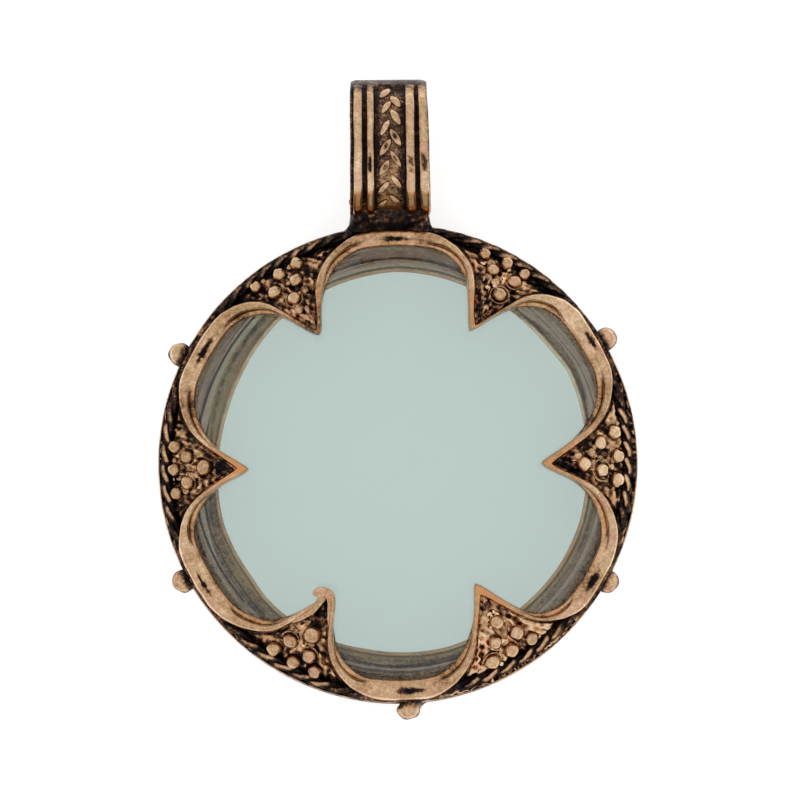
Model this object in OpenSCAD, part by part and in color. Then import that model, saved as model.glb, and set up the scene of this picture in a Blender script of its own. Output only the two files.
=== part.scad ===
// Round crystal pendant: a thick clear crystal in a claw setting of dark bronze, with a strap bail.
// It lies on its back. X runs across it, Y towards the bail, and Z out of its front.
// The origin is on the back plane, midway between the lowest edge bead and the top of the bail.

/* [Setting] */
// Outside diameter of the wall
ring_d = 40; // [39:0.25:41]
// Thickness of the wall
wall_t = 1.3; // [1.2:0.05:1.4]
// Diameter of the opening in the back
back_open_d = 29.6; // [28:0.2:31]
// Thickness of the lip round that opening
lip_t = 0.75; // [0.7:0.05:0.9]

/* [Crystal] */
// Thickness of the crystal at its middle
crystal_t = 8.8; // [8.4:0.1:9.2]
// Rise of its front, from the edge to the middle
front_rise = 5.25; // [5:0.05:5.5]
// Bevel round its back edge
crystal_bevel = 0.5; // [0.4:0.05:0.6]
// Gap between the crystal and the metal
gap = 0.05; // [0.03:0.01:0.1]

/* [Claws] */
// Thickness of the sheet over the crystal
sheet_t = 0.6; // [0.5:0.05:0.7]
// Reach of each of the six lobes of the front opening, from the middle
lobe_reach = 18.25; // [18:0.05:18.4]
// Half of a lobe's width
lobe_half_w = 6; // [5.8:0.05:6.2]
// Radius of a lobe's two outer corners
lobe_corner_r = 3.6; // [3.4:0.1:3.9]
// How far the sheet shows inside the rim band, beside a claw
ledge_side_w = 0.1; // [0:0.05:0.15]
// How far the sheet shows inside the rim band, at the end of a lobe
ledge_end_w = 0.25; // [0.15:0.05:0.3]
// Width of the rim band beside a claw
band_side_w = 0.6; // [0.55:0.05:0.75]
// Width of the rim band at the end of a lobe
band_end_w = 1.4; // [1.3:0.05:1.5]
// Height of the rim band over the sheet
band_rise = 0.6; // [0.5:0.05:0.7]

/* [Ornament] */
// Diameter of a granule
granule_d = 1.15; // [0.9:0.05:1.25]
// Length of one turn of the twisted wire at the shoulder
wire_d = 0.95; // [0.8:0.05:1]
// Thickness of one turn of the wire
strand_t = 0.4; // [0.4:0.05:0.55]
// Diameter of an edge bead
edge_bead_d = 2; // [1.8:0.05:2.2]

/* [Bail] */
// Width of the strap
strap_w = 6.6; // [6.2:0.1:7]
// Thickness of the strap
strap_t = 1.25; // [1.1:0.05:1.4]
// Outside diameter of the round front of the loop
loop_d = 11.5; // [11:0.1:12]
// Top of the loop, from the middle of the ring
loop_top = 32.1; // [31.8:0.1:32.6]
// Lean of the bail to the right, in degrees
bail_lean = 0.9; // [0:0.1:1.5]
// Distance of the bail's foot to the right of the ring's centre line
bail_x = -0.2; // [-0.4:0.1:0.4]
// Depth of the channel and grooves in the strap
groove_depth = 0.35; // [0.25:0.05:0.45]

/* [Hidden] */
$fn = 96;

ring_r = ring_d / 2;
back_open_r = back_open_d / 2;
crystal_r = ring_r - wall_t - gap;
crystal_z = lip_t + gap;
crystal_top = crystal_z + crystal_t;
// The crystal's front is part of a sphere, and the sheet and rim band lie on spheres round the same centre.
front_r = (crystal_r^2 + front_rise^2) / (2 * front_rise);
front_z = crystal_top - front_r;
sheet_r = front_r + gap + sheet_t;
band_r = sheet_r + band_rise;
// The front opening is cut from this height up, and the back lip is below it
cut_z = 2;
high = 14;

claw_count = 6;
claw_step = 360 / claw_count;
lobe_angle = claw_step / 2;
// The sheet's corners and the rim band's outer corners are rounder than the band's inner ones
ledge_corner_more = 0.8;
band_corner_more = 0.9;
// The back opening stands a little off the middle
back_open_at = [0.35, 0.15, 0];

// Granules of one claw: distance from the middle, angle from the claw's centre line
granule_rows = [
    [18.58, -5.3], [18.6, 0.4], [18.6, 6.5],
    [17.35, -3.1], [17.45, 3.8],
    [15.9, -0.2]];
granule_sink = 0.1;

wire_r = ring_r - 0.75;
wire_span = 17;
strand_count = 9;
strand_lay = 62;

edge_bead_angles = [30, 150, 210, 271, 330];
edge_bead_r = ring_r + 0.4;
edge_bead_z = 3.4;

// The bent tip of one claw: its two ends, as distance from the middle and angle
hook_ends = [[12.1, 241], [13.0, 236.4]];
hook_d = 0.75;

loop_r = loop_d / 2;
loop_y = loop_top - loop_r;
loop_z = 5;
loop_back = 4.7;
loop_corner_r = 2.5;
foot_w = 7.4;
foot_top = 21.6;
foot_z = [1.4, 4.4, 6.2];
// The foot starts inside the wall, and its upper part outside the rim band
foot_start = [ring_r - wall_t / 2, ring_r - 0.4];
// Half width of the channel, then the near and far side of the groove beside it
channel_half_w = 1.28;
groove_x = [2.05, 2.4];
// The channel and grooves run down the front, from this height over the loop's middle
groove_z = 2.8;

// Leaves in the channel: side, first angle from the front towards the top, and how many
leaf_columns = [[-1, -61.5, 7], [1, -57.5, 6]];
leaf_step = 18.2;
leaf_l = 1.8;
leaf_w = 0.75;
leaf_h = 0.28;
leaf_x = 0.45;
leaf_tilt = 30;

middle_y = (loop_top - edge_bead_r - edge_bead_d / 2) / 2;

// Height of a sphere round the crystal's centre of curvature, at a distance from the axis
function dome_z(r, at) = front_z + sqrt(r^2 - at^2);

// Points of an arc, from one angle to another in so many steps
function arc(centre, r, from, to, steps) =
    [for (i = [0:steps]) let (a = from + (to - from) * i / steps) centre + r * [cos(a), sin(a)]];

function turned(p, a) = [p[0] * cos(a) - p[1] * sin(a), p[0] * sin(a) + p[1] * cos(a)];

// One lobe along +X, from the claw tip below it: round corners, and an end that follows the ring
function lobe(reach, half_w, corner_r) =
    let (
        corner_y = half_w - corner_r,
        corner_x = sqrt((reach - corner_r)^2 - corner_y^2),
        end_a = asin(corner_y / (reach - corner_r)),
        steps = 8)
    concat(
        [half_w / sin(lobe_angle) * [cos(lobe_angle), -sin(lobe_angle)]],
        arc([corner_x, -corner_y], corner_r, -90, -end_a, steps),
        arc([0, 0], reach, -end_a / 2, end_a / 2, steps / 4),
        arc([corner_x, corner_y], corner_r, end_a, 90, steps));

// The whole front opening, grown by so much beside the claws, at the lobes' ends and at their corners
function lobes(side_grow, end_grow, corner_grow) =
    let (one = lobe(lobe_reach + end_grow, lobe_half_w + side_grow, lobe_corner_r + corner_grow))
    [for (i = [0:claw_count - 1], p = one) turned(p, lobe_angle + i * claw_step)];

// Half of the crystal's section, grown by so much
module crystal_section(grow) {
    r = crystal_r + grow;
    z = crystal_z - grow;
    intersection() {
        translate([0, front_z]) circle(front_r + grow);
        polygon([[0, z], [r - crystal_bevel, z], [r, z + crystal_bevel], [r, high], [0, high]]);
    }
}

// Everything within the outer face of the ring, up to a sphere
module under_dome(r) {
    intersection() {
        cylinder(h = high, r = ring_r);
        translate([0, 0, front_z]) sphere(r);
    }
}

// Wall, back lip and the sheet that is bent over the crystal, cut into six claws
module cup() {
    chamfer = 0.4;
    difference() {
        under_dome(sheet_r);
        rotate_extrude() crystal_section(gap);
        translate([0, 0, cut_z]) linear_extrude(high)
            polygon(lobes(-ledge_side_w, -ledge_end_w, ledge_corner_more));
        // the back opening flares towards the crystal, and the wall has a chamfer at the back
        translate(back_open_at) {
            translate([0, 0, -1]) cylinder(h = cut_z, r = back_open_r);
            translate([0, 0, lip_t / 3]) cylinder(h = lip_t, r1 = back_open_r, r2 = back_open_r + lip_t);
        }
        rotate_extrude() polygon([
            [ring_r + 1, -1], [ring_r + 1, chamfer + 1], [ring_r - chamfer - 1, -1]]);
    }
}

// The raised band along the edge of the front opening
module rim_band() {
    outer = lobes(band_side_w, band_end_w, band_side_w + band_corner_more);
    inner = lobes(0, 0, 0);
    n = len(outer);
    difference() {
        intersection() {
            under_dome(band_r);
            translate([0, 0, cut_z]) linear_extrude(high)
                polygon(concat(outer, inner), [[for (i = [0:n - 1]) i], [for (i = [0:n - 1]) n + i]]);
        }
        rotate_extrude() crystal_section(gap);
    }
}

// The bent end of the lower left claw
module bent_tip() {
    ends = [for (e = hook_ends)
        [e[0] * cos(e[1]), e[0] * sin(e[1]), dome_z(band_r - hook_d / 2, e[0])]];
    run = ends[1] - ends[0];
    length = norm(run);
    translate(ends[0]) rotate([0, acos(run[2] / length), atan2(run[1], run[0])])
        cylinder(h = length, d = hook_d * 0.9);
    for (p = ends) translate(p) sphere(d = hook_d);
}

// Six granules on each claw, in rows of three, two and one
module granules() {
    for (i = [0:claw_count - 1], g = granule_rows) rotate(i * claw_step + g[1])
        translate([g[0], 0, dome_z(sheet_r + granule_sink, g[0])]) sphere(d = granule_d);
}

// The turns of the twisted wire that show between the lobes
module twisted_wire() {
    lean = asin(wire_r / sheet_r);
    for (i = [0:claw_count - 1], k = [0:strand_count - 1])
        rotate(i * claw_step + wire_span * (2 * k / (strand_count - 1) - 1))
            translate([wire_r, 0, dome_z(sheet_r, wire_r)])
                rotate([0, lean, 0]) rotate([90, 0, -strand_lay])
                    cylinder(h = strand_t, d = wire_d, center = true);
}

// Five beads on the outside of the wall
module edge_beads() {
    for (a = edge_bead_angles) rotate(a) translate([edge_bead_r, 0, edge_bead_z]) sphere(d = edge_bead_d);
}

// The loop's section, round in front and flattened at the back, made smaller by so much
module loop_section(inset) {
    r = loop_r - inset;
    corner_y = sqrt((loop_r - loop_corner_r)^2 - (loop_back - loop_corner_r)^2);
    corner_z = loop_corner_r - loop_back;
    // height at which the front's arc runs into a corner's
    front_low = corner_z * r / (loop_r - loop_corner_r);
    intersection() {
        circle(r);
        translate([-r, front_low]) square(2 * r);
    }
    for (side = [-1, 1]) translate([side * corner_y, corner_z]) circle(loop_corner_r - inset);
    translate([-corner_y, inset - loop_back]) square([2 * corner_y, loop_back - inset]);
}

// A stretch of the loop's section from one X to another
module loop_slab(x0, x1, inset) {
    translate([x0, 0, 0]) rotate([90, 0, 90]) linear_extrude(x1 - x0) loop_section(inset);
}

// One leaf grain along Y, bounded by two arcs that meet at its tips
module leaf() {
    arc_r = (leaf_l^2 + leaf_w^2) / (4 * leaf_w);
    translate([0, 0, -leaf_h]) linear_extrude(2 * leaf_h) intersection() {
        translate([leaf_w / 2 - arc_r, 0]) circle(arc_r);
        translate([arc_r - leaf_w / 2, 0]) circle(arc_r);
    }
}

// The strap bail, with its channel, grooves, leaves and soldered foot
module bail() {
    floor_r = loop_r - groove_depth;
    translate([bail_x, ring_r, 0]) rotate(-bail_lean) translate([0, -ring_r, 0]) {
        difference() {
            union() {
                translate([0, loop_y, loop_z]) loop_slab(-strap_w / 2, strap_w / 2, 0);
                for (i = [0, 1]) translate([0, 0, foot_z[0]]) linear_extrude(foot_z[i + 1] - foot_z[0])
                    foot_outline(foot_start[i]);
            }
            translate([0, loop_y, loop_z]) {
                loop_slab(-strap_w, strap_w, strap_t);
                for (x = [[-channel_half_w, channel_half_w], groove_x, -[groove_x[1], groove_x[0]]])
                    groove(x[0], x[1]);
            }
        }
        translate([0, loop_y, loop_z]) for (column = leaf_columns, k = [0:column[2] - 1])
            rotate([column[1] + k * leaf_step, 0, 0])
                translate([column[0] * leaf_x, 0, floor_r])
                    rotate([0, 0, column[0] * leaf_tilt]) leaf();
    }
}

// The foot from above, from a start in the ring to where it runs into the strap
module foot_outline(start) {
    polygon([
        [-foot_w / 2, start], [foot_w / 2, start], [strap_w / 2, foot_top], [-strap_w / 2, foot_top]]);
}

// A groove that runs down the front of the loop to the foot
module groove(x0, x1) {
    difference() {
        translate([x0, foot_top - loop_y, groove_z]) cube([x1 - x0, 2 * loop_d, loop_d]);
        translate([-strap_w, 0, 0]) rotate([90, 0, 90]) linear_extrude(2 * strap_w) loop_section(groove_depth);
    }
}

// The whole metal setting, cast and soldered into one solid
module setting() {
    color("peru") translate([0, -middle_y, 0]) {
        cup();
        rim_band();
        bent_tip();
        granules();
        twisted_wire();
        edge_beads();
        bail();
    }
}

module crystal() {
    color("lightblue", 0.5) translate([0, -middle_y, 0]) rotate_extrude() crystal_section(0);
}

setting();
crystal();
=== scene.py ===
import math

import bmesh
import bpy
import numpy as np
from mathutils import Matrix, Vector


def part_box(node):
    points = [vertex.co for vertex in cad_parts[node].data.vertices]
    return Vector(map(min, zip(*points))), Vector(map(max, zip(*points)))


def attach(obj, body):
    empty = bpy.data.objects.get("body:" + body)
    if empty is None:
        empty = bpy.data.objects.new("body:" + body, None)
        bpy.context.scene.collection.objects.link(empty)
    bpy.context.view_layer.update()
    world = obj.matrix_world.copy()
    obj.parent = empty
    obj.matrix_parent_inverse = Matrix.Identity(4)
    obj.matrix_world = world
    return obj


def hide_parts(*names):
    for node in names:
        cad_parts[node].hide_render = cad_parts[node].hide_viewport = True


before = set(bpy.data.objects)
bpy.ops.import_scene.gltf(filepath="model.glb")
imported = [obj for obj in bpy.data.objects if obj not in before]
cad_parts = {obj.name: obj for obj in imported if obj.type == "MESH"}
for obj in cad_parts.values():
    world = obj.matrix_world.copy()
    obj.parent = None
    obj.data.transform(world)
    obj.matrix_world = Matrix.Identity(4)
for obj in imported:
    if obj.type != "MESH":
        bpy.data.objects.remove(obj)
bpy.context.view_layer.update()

# Shapes are worked out in millimetres about the ring's axis, and meshes are written in metres.
mm = 0.001
crystalLow, crystalHigh = (np.array(corner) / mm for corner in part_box("crystal"))
ringMiddle = np.array([*(crystalLow[:2] + crystalHigh[:2]) / 2, 0.0])

# Sizes that several pieces share, as in the part's source
form = dict(
    ringRadius=20.0, openRadius=14.8, lipThickness=0.75, gap=0.05, frontRise=5.25, sheetThickness=0.6,
    claws=6,
    lobeHalfWidth=5.96,  # of the rim band's inner edge
    bailX=-0.2, bailLean=0.9,  # the bail's foot is left of the middle, and it leans right, in degrees
)
crystalRadius = (crystalHigh[0] - crystalLow[0]) / 2
frontRadius = (crystalRadius ** 2 + form["frontRise"] ** 2) / (2 * form["frontRise"])
frontCentre = crystalHigh[2] - frontRadius
sheetLift = form["gap"] + form["sheetThickness"]
clawStep = 360 / form["claws"]
print("stage: frame loaded")


# Curves, grids and meshes

def domeHeight(distance, lift):
    # height of a sphere round the crystal's own centre of curvature, so far above its front
    return frontCentre + np.sqrt((frontRadius + lift) ** 2 - distance ** 2)


def swell(points, size, seed, waves=14):
    # smooth unevenness, about -2 to 2: the sum of plane waves of about that length in random directions
    rng = np.random.default_rng(seed)
    heading = rng.normal(size=(waves, 3))
    heading /= np.linalg.norm(heading, axis=1, keepdims=True)
    pace = 2 * math.pi / size * rng.uniform(0.7, 1.4, waves)
    phase = rng.uniform(0, 2 * math.pi, waves)
    return np.sin(points @ (heading * pace[:, None]).T + phase).sum(-1) / math.sqrt(waves / 2)


def ease(low, high, value):
    # 0 at low, 1 at high, and a smooth step between
    t = np.clip((value - low) / (high - low), 0, 1)
    return t * t * (3 - 2 * t)


def fromPolar(distance, degrees, height):
    # (distance cos, distance sin, height)
    turn = np.radians(degrees)
    parts = np.broadcast_arrays(distance * np.cos(turn), distance * np.sin(turn), height)
    return np.stack(parts, -1)


def turnedAbout(points, degrees):
    # points turned about the ring's axis
    c, s = math.cos(math.radians(degrees)), math.sin(math.radians(degrees))
    return points @ np.array([[c, s, 0], [-s, c, 0], [0, 0, 1]])


def stoodOnDome(points, place, lift):
    # points about an upright axis, set on the dome at a distance and angle, with that axis square to it
    distance, degrees = place
    lean = math.asin(distance / (frontRadius + lift))
    c, s = math.cos(lean), math.sin(lean)
    stood = points @ np.array([[c, 0, -s], [0, 1, 0], [s, 0, c]])
    return turnedAbout(stood + [distance, 0, domeHeight(distance, lift)], degrees)


def flatArch(x):
    # 1 over most of the way from -1 to 1, and down to 0 at both: the root of 1 - x to the fourth
    return math.sqrt(max(1 - x ** 4, 0))


def squaredCircle(turn, power):
    # cosine and sine to a power below one, with their signs kept, which squares up the circle
    return [np.sign(wave) * np.abs(wave) ** power for wave in (np.cos(turn), np.sin(turn))]


def smoothRun(points, count):
    # Catmull-Rom curve through a few points, sampled evenly in its parameter
    points = np.array(points, dtype=float)
    padded = np.vstack([2 * points[0] - points[1], points, 2 * points[-1] - points[-2]])
    at = np.linspace(0, len(points) - 1 - 1e-9, count)
    i = at.astype(int)
    t = (at - i)[:, None]
    a, b, c, d = padded[i], padded[i + 1], padded[i + 2], padded[i + 3]
    bend = (2 * a - 5 * b + 4 * c - d) * t ** 2 + (3 * b - a - 3 * c + d) * t ** 3
    return 0.5 * (2 * b + (c - a) * t + bend)


def tube(path, radius, sides, square=1.0):
    # a circle carried along a path, in rows along it: path + radius (side cos + up sin)
    along = np.gradient(path, axis=0)
    along /= np.linalg.norm(along, axis=1, keepdims=True)
    side = np.cross(along, [0.0, 0.0, 1.0])
    side /= np.linalg.norm(side, axis=1, keepdims=True)
    up = np.cross(side, along)
    turn = np.linspace(0, 2 * math.pi, sides, endpoint=False)[None, :, None]
    radius = np.broadcast_to(radius, len(path))[:, None, None]
    c, s = squaredCircle(turn, square)
    return path[:, None] + radius * (side[:, None] * c + up[:, None] * s)


def ball(rows=12, sides=20):
    # a unit sphere: (sin a cos b, sin a sin b, cos a), a from pole to pole and b all round
    a = np.linspace(0, math.pi, rows)[:, None]
    b = np.linspace(0, 2 * math.pi, sides, endpoint=False)[None, :]
    return np.stack([np.sin(a) * np.cos(b), np.sin(a) * np.sin(b), np.cos(a) + 0 * b], -1)


def quadsOf(shape, closeU, closeV):
    # each quad joins a point to the next along u, the next along both, and the next along v
    index = np.arange(shape[0] * shape[1]).reshape(shape)
    nextU, nextV = np.roll(index, -1, 0), np.roll(index, -1, 1)
    quads = np.stack([index, nextU, np.roll(nextU, -1, 1), nextV], -1)
    rows = shape[0] if closeU else shape[0] - 1
    columns = shape[1] if closeV else shape[1] - 1
    return quads[:rows, :columns].reshape(-1, 4)


def putInScene(name, data):
    thing = bpy.data.objects.new(name, data)
    bpy.context.scene.collection.objects.link(thing)
    return thing


def makePiece(name, grids, finish, replaced, slot, closeU=False, closeV=True, sharpAngle=40):
    # grids holds (points, wearAndShading) or (points, wearAndShading, warm): points are (u, v, 3) in
    # millimetres, wearAndShading is how rubbed each point is and also carries painted light and shade, and
    # warm is how orange, or below zero how silvery
    spots, wearAndShading, warm, quads, start = [], [], [], [], 0
    for points, rubbedAndLit, *tinted in grids:
        rows, columns = points.shape[:2]
        spots.append(points.reshape(-1, 3))
        wearAndShading.append(np.broadcast_to(rubbedAndLit, (rows, columns)).reshape(-1))
        warm.append(np.broadcast_to(tinted[0] if tinted else 0.0, (rows, columns)).reshape(-1))
        quads.append(quadsOf((rows, columns), closeU, closeV) + start)
        start += rows * columns
    spots = (np.concatenate(spots) + ringMiddle) * mm
    quads = np.concatenate(quads)
    mesh = bpy.data.meshes.new(name)
    mesh.vertices.add(len(spots))
    mesh.vertices.foreach_set("co", spots.ravel())
    mesh.loops.add(quads.size)
    mesh.loops.foreach_set("vertex_index", quads.ravel())
    mesh.polygons.add(len(quads))
    mesh.polygons.foreach_set("loop_start", np.arange(0, quads.size, 4))
    mesh.update(calc_edges=True)
    for label, values in (("wearAndShading", wearAndShading), ("warm", warm)):
        layer = mesh.attributes.new(label, "FLOAT", "POINT")
        layer.data.foreach_set("value", np.concatenate(values).astype(np.float32))
    work = bmesh.new()
    work.from_mesh(mesh)
    bmesh.ops.remove_doubles(work, verts=work.verts, dist=2e-7)
    bmesh.ops.recalc_face_normals(work, faces=work.faces)
    work.to_mesh(mesh)
    work.free()
    mesh.polygons.foreach_set("use_smooth", np.ones(len(mesh.polygons), dtype=bool))
    mesh.set_sharp_from_angle(angle=math.radians(sharpAngle))
    mesh.validate()
    piece = putInScene(name, mesh)
    mesh.materials.append(finish)
    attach(piece, "root")
    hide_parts(replaced)
    print("piece:", name, len(mesh.polygons), "faces")
    return piece


# Shader maths

class Wire:
    # an output socket that can be added, subtracted and multiplied
    def __init__(self, paint, socket):
        self.paint, self.socket = paint, socket

    def join(self, operation, first, second):
        return self.paint.add("ShaderNodeMath", dict(operation=operation), {0: first, 1: second})

    def __add__(self, other):
        return self.join("ADD", self, other)

    def __radd__(self, other):
        return self.join("ADD", other, self)

    def __sub__(self, other):
        return self.join("SUBTRACT", self, other)

    def __rsub__(self, other):
        return self.join("SUBTRACT", other, self)

    def __mul__(self, other):
        return self.join("MULTIPLY", self, other)

    def __rmul__(self, other):
        return self.join("MULTIPLY", other, self)

    def span(self, low, high, start=0.0, end=1.0):
        # low to high becomes start to end, in a smooth step that holds beyond them
        sockets = {"Value": self, "From Min": low, "From Max": high, "To Min": start, "To Max": end}
        return self.paint.add("ShaderNodeMapRange", dict(interpolation_type="SMOOTHSTEP"), sockets)


class Paint:
    # the nodes of one material, or of the world
    def __init__(self, owner):
        owner.use_nodes = True
        self.owner = owner
        self.tree = owner.node_tree
        self.tree.nodes.clear()

    def add(self, kind, settings, sockets, output=0):
        # a node of that type: its settings first, then the values or links of its sockets
        node = self.tree.nodes.new(kind)
        stops = settings.pop("stops", [])
        for key, value in settings.items():
            setattr(node, key, value)
        for number, (place, colour) in enumerate(stops):
            elements = node.color_ramp.elements
            element = elements[number] if number < 2 else elements.new(place)
            element.position, element.color = place, (*colour, 1)
        for key, value in sockets.items():
            if isinstance(value, Wire):
                self.tree.links.new(value.socket, node.inputs[key])
            else:
                node.inputs[key].default_value = value
        return Wire(self, node.outputs[output]) if node.outputs else None

    def blend(self, amount, first, second, mode="MIX"):
        # a Mix node's factor and its two colours are inputs 0, 6 and 7, and its colour is output 2
        settings = dict(data_type="RGBA", blend_type=mode, clamp_factor=True)
        return self.add("ShaderNodeMix", settings, {0: amount, 6: first, 7: second}, 2)

    def noise(self, where, size, detail=3.0, rough=0.55):
        # size is that of one blotch, in millimetres
        sockets = {"Vector": where, "Scale": 1 / (size * mm), "Detail": detail, "Roughness": rough}
        return self.add("ShaderNodeTexNoise", {}, sockets)

    def bump(self, height, depth, strength=1.0, under=None):
        # depth is that of height 1, in millimetres
        sockets = {"Height": height, "Distance": depth * mm, "Strength": strength}
        if under:
            sockets["Normal"] = under
        return self.add("ShaderNodeBump", {}, sockets)

    def done(self, shader, kind="ShaderNodeOutputMaterial"):
        self.add(kind, {}, {"Surface": shader})
        return self.owner


# Materials

def bronzeFinish():
    # antique bronze: black patina, brown, copper and rubbed tan metal, by the attribute wearAndShading and
    # noise; that attribute carries painted light and shade as well as wear
    look = dict(
        blotch=2.2, speckle=0.42, grit=0.17,  # sizes in millimetres
        blotchShare=0.4, speckleShare=0.62, gritShare=0.62,
        patina=(0.01, 0.008, 0.0095), shade=(0.026, 0.017, 0.015), brown=(0.118, 0.061, 0.037),
        # rubbedAndLit is the tone of rubbed metal, and also of painted highlights
        copper=(0.44, 0.25, 0.122), tan=(0.63, 0.415, 0.25), rubbedAndLit=(0.9, 0.67, 0.43),
        pink=(0.7, 0.4, 0.29), olive=(0.5, 0.39, 0.2), orange=(0.64, 0.29, 0.115),
        silvery=(1.0, 0.84, 1.05),
        gritDepth=0.01, speckleDepth=0.016, roughDark=0.5, roughRubbed=0.15,
    )
    paint = Paint(bpy.data.materials.new("antique_bronze"))
    where = paint.add("ShaderNodeTexCoord", {}, {}, 3)
    wearAndShading = paint.add("ShaderNodeAttribute", dict(attribute_name="wearAndShading"), {}, 2)
    blotch = paint.noise(where, look["blotch"], 2.0)
    speckle = paint.noise(where, look["speckle"], 4.0, 0.6)
    grit = paint.noise(where, look["grit"], 3.0, 0.65)
    # the noise is stronger in the hollows than on the rubbed faces, by the share 1.8 - wearAndShading
    uneven = (blotch - 0.5) * look["blotchShare"] + (speckle - 0.5) * look["speckleShare"]
    shine = wearAndShading + (uneven + (grit - 0.5) * look["gritShare"]) * (1.8 - wearAndShading)
    tone = paint.add("ShaderNodeValToRGB", dict(stops=[
        (0.0, look["patina"]), (1.0, look["rubbedAndLit"]), (0.2, look["shade"]), (0.4, look["brown"]),
        (0.62, look["copper"]), (0.82, look["tan"])]), {0: shine})
    hue = paint.noise(where, 1.7, 2.0)
    warm = paint.blend(hue.span(0.5, 0.68, 0.0, 0.4) * shine.span(0.3, 0.8), tone, (*look["pink"], 1))
    green = paint.blend(hue.span(0.48, 0.32, 0.0, 0.35) * shine.span(0.3, 0.8), warm, (*look["olive"], 1))
    tinted = paint.add("ShaderNodeAttribute", dict(attribute_name="warm"), {}, 2)
    orange = tinted * shine.span(0.15, 0.7) * hue.span(0.36, 0.58, 0.3, 1.0)
    tawny = paint.blend(orange, green, (*look["orange"], 1))
    colour = paint.blend(0 - tinted, tawny, (*look["silvery"], 1), "MULTIPLY")
    rough = shine.span(0.1, 0.9, look["roughDark"], look["roughRubbed"]) + (speckle - 0.5) * 0.12
    shallow = paint.bump(speckle, look["speckleDepth"], 0.6)
    normal = paint.bump(grit, look["gritDepth"], 0.6, shallow)
    shader = paint.add("ShaderNodeBsdfPrincipled", {}, {
        "Base Color": colour, "Metallic": 1.0, "Roughness": rough, "Normal": normal})
    return paint.done(shader)


def crystalFinish():
    # clear crystal with a faint blue-green cast; shadow rays pass it, so that light reaches the floor below
    look = dict(tint=(0.507, 0.601, 0.574, 1), ior=1.5, shade=(0.88, 0.88, 0.88, 1))
    paint = Paint(bpy.data.materials.new("clear_crystal"))
    glass = paint.add("ShaderNodeBsdfPrincipled", {}, {
        "Base Color": look["tint"], "Roughness": 0.0, "IOR": look["ior"], "Transmission Weight": 1.0})
    clear = paint.add("ShaderNodeBsdfTransparent", {}, {"Color": look["shade"]})
    shadow = paint.add("ShaderNodeLightPath", {}, {}, 1)
    return paint.done(paint.add("ShaderNodeMixShader", {}, {0: shadow, 1: glass, 2: clear}))


def floorFinish():
    # a pale sweep, lit from below as on a light table
    look = dict(colour=(0.55, 0.55, 0.545, 1), glow=0.72)
    paint = Paint(bpy.data.materials.new("pale_floor"))
    return paint.done(paint.add("ShaderNodeBsdfPrincipled", {}, {
        "Base Color": look["colour"], "Roughness": 0.9, "Specular IOR Level": 0.1,
        "Emission Color": (1, 1, 1, 1), "Emission Strength": look["glow"]}))


bronze = bronzeFinish()
crystalGlass = crystalFinish()
metal = dict(finish=bronze, replaced="setting", slot="bronze")
print("stage: materials made")


# The lobed outline of the front opening

def lobed(fromLobe, reach, halfWidth, corner, blunt):
    # Distance of the outline at an angle from a lobe's middle: the reach, then where the ray leaves the
    # corner's circle, then the straight side. Near a claw's tip the angle is eased, which blunts the tip.
    toTip = clawStep / 2 - np.abs(fromLobe)
    toTip = toTip * (1 - 0.25 * np.exp(-(toTip / 3) ** 2))
    angle = np.abs(np.radians(clawStep / 2 - np.sqrt(toTip ** 2 + blunt ** 2)))
    cornerY = halfWidth - corner
    cornerX = np.sqrt((reach - corner) ** 2 - cornerY ** 2)
    ahead = cornerX * np.cos(angle) + cornerY * np.sin(angle)
    onCorner = ahead + np.sqrt(np.maximum(ahead ** 2 - (reach - corner) ** 2 + corner ** 2, 0))
    onSide = halfWidth / np.sin(np.maximum(angle, 0.05))
    onEnd = angle < np.arctan2(cornerY, cornerX)
    return np.where(onEnd, reach, np.where(angle < np.arctan2(halfWidth, cornerX), onCorner, onSide))


# How each claw differs, from the one on the right on: half width at its tip, bluntness in degrees, width of
# the band at its tip, how bright its floor is, the share of that at its tip, how orange and how much darker
# the band is there, and how bright the twisted wire is
claws = dict(
    wider=[-0.135, 0.18, 0.035, 0.16, 0.05, -0.015], blunt=[0.8, 0.3, 1.1, 0.5, 0.8, 0.4],
    tipBand=[0.6, 0.385, 0.415, 0.6, 0.3, 0.63],
    floor=[0.51, 0.5, 0.365, 0.395, 0.39, 0.91], apex=[0.25, 0.25, 0.75, 0.8, 0.9, 0.6],
    orange=[0.5, 0.9, 0.5, 0.9, 0.1, 0.8], darker=[0.0, 0.04, 0.22, 0.0, 0.0, 0.04],
    wire=[1.0, 0.62, 0.62, 0.9, 0.85, 0.95],
)
# How each flank differs, two for each lobe: half width and corner radius of the rim band's inner edge, and
# the same of its outer edge
flanks = dict(
    half=[5.78, 5.9, 6.08, 5.66, 6.02, 6.14, 5.72, 6.7, 5.6, 5.66, 5.9, 5.6],
    corner=[3.9, 2.6, 2.8, 3.3, 3.3, 4.2, 2.8, 4.3, 2.8, 3.6, 2.6, 3.9],
    outerHalf=[6.44, 6.38, 7.05, 6.68, 6.5, 6.5, 6.32, 7.25, 6.32, 6.2, 6.38, 6.2],
    outerCorner=[5.1, 4.2, 5.4, 5.6, 4.0, 5.1, 4.8, 6.1, 5.1, 5.1, 4.8, 5.1],
)
# How each lobe's end differs: the reach of the band's two edges, how far the outer one is askew, how much
# brighter the band is and how that slants, then the angle, distance, half length and half width of the
# black mark, a painted reflection of the camera
lobes = dict(
    innerReach=[18.32, 18.42, 18.28, 18.36, 18.34, 18.42], reach=[19.62, 19.56, 19.46, 19.78, 19.84, 19.72],
    askew=[0.018, 0, 0, 0, 0, 0], slant=[0.012, 0, 0, 0, 0, 0],
    tone=[0.08, -0.08, -0.04, 0.04, -0.02, 0.01],
    markAt=[0.9, -0.7, -1.2, 0.8, 1.9, -2.4], reflectionDistance=[19.06, 18.7, 18.64, 19.06, 19.03, 18.98],
    reflectionLength=[0.78, 0.88, 1.15, 1.02, 1.05, 0.85], reflectionWidth=[0.2, 0.16, 0.2, 0.16, 0.29, 0.27],
)


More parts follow.
